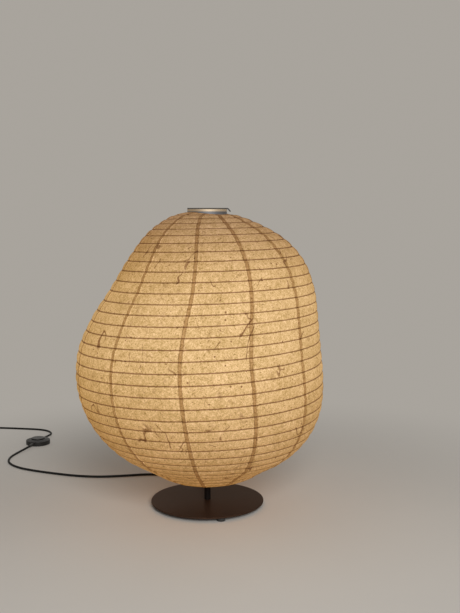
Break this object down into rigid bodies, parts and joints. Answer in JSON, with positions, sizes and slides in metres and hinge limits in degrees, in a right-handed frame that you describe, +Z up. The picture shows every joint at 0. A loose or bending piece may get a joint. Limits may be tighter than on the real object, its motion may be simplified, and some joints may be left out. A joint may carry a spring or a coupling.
{
  "type": "paper lantern floor lamp",
  "caption": "Floor lamp with a lopsided ribbed paper lantern on a short stem and round plate, with a corded foot switch.",
  "frame": {"origin": "on the floor, under the axis of the stem", "axes": "+Z up along the stem; the front of the lamp faces -Y, +X is to the right seen from the front"},
  "size_m": [1.064, 1.041, 0.708],
  "materials": {
    "shade_paper": "matt fibrous mulberry paper, lit from inside",
    "bamboo_rib": "split bamboo",
    "top_hoop": "dull brass hoop",
    "stretcher_wire": "dark lacquered steel wire",
    "bronze_paint": "satin dark bronze powder coat",
    "stem_paint": "satin black powder coat",
    "black_rubber": "matt rubber",
    "zinc_steel": "zinc plated steel",
    "black_plastic": "black moulded plastic",
    "switch_plastic": "black moulded plastic with a soft gloss",
    "button_plastic": "black moulded plastic with a soft gloss",
    "core_insulation": "pale insulation",
    "white_ceramic": "unglazed porcelain",
    "contact_brass": "nickel free brass",
    "bulb_glass": "frosted glass, lit",
    "black_glass": "black vitrite",
    "cord_sheath": "black flexible sheath",
    "tie_band": "black tie",
    "pin_metal": "nickel plated brass"
  },
  "bodies": {
    "stand": {"base_plate": "bronze_paint", "base_feet": "black_rubber", "foot_screws": "zinc_steel", "base_washer": "zinc_steel", "base_nut": "zinc_steel", "threaded_nipples": "zinc_steel", "stem_bushings": "zinc_steel", "stem": "stem_paint", "stem_cord_relief": "black_plastic", "stem_wires": "core_insulation", "holder_cap": "black_plastic", "holder_body": "black_plastic", "holder_insert": "white_ceramic", "holder_screw_shell": "contact_brass", "holder_contact": "contact_brass", "shade_nut_lower": "black_plastic", "switch_lower_shell": "switch_plastic", "switch_upper_shell": "switch_plastic", "switch_spring": "zinc_steel", "switch_contact_block": "core_insulation", "switch_wires": "core_insulation", "switch_relief_in": "black_plastic", "switch_relief_out": "black_plastic", "switch_screws": "zinc_steel", "switch_pads": "black_rubber", "cord_lamp_to_switch": "cord_sheath", "cord_switch_to_coil": "cord_sheath", "cord_coil": "cord_sheath", "cord_tail": "cord_sheath", "coil_tie": "tie_band", "plug_body": "black_plastic", "plug_pins": "pin_metal", "plug_relief": "black_plastic"},
    "shade": {"paper_panel_01": "shade_paper", "paper_panel_02": "shade_paper", "paper_panel_03": "shade_paper", "paper_panel_04": "shade_paper", "paper_panel_05": "shade_paper", "paper_panel_06": "shade_paper", "paper_panel_07": "shade_paper", "paper_panel_08": "shade_paper", "paper_panel_09": "shade_paper", "paper_panel_10": "shade_paper", "paper_panel_11": "shade_paper", "paper_panel_12": "shade_paper", "rib_spiral": "bamboo_rib", "hoop_top": "top_hoop", "hoop_bottom": "top_hoop", "stretcher_upright_left": "stretcher_wire", "stretcher_upright_right": "stretcher_wire", "stretcher_top_bar": "stretcher_wire", "stretcher_ring_arms": "stretcher_wire", "stretcher_carrier": "stretcher_wire"},
    "ring_nut": {"shade_nut_upper": "black_plastic"},
    "bulb": {"bulb_glass": "bulb_glass", "bulb_cap": "contact_brass", "bulb_insulator": "black_glass", "bulb_contact": "contact_brass"},
    "button": {"switch_button": "button_plastic"}
  },
  "joints": [
    {"name": "shade_turn", "type": "hinge", "parent": "stand", "child": "shade", "pos_m": [0, 0, 0.345], "axis": [0, 0, 1], "continuous": true},
    {"name": "ring_nut_turn", "type": "hinge", "parent": "stand", "child": "ring_nut", "pos_m": [0, 0, 0.345], "axis": [0, 0, 1], "range_deg": [0, 1080]},
    {"name": "bulb_turn", "type": "hinge", "parent": "stand", "child": "bulb", "pos_m": [0, 0, 0.4], "axis": [0, 0, 1], "range_deg": [0, 1080]},
    {"name": "button_press", "type": "slide", "parent": "stand", "child": "button", "axis": [0, 0, -1], "range_m": [0, 0.0025], "stiffness_N_per_m": 1500, "springref_m": -0.002, "deforming": ["switch_spring"]}
  ]
}
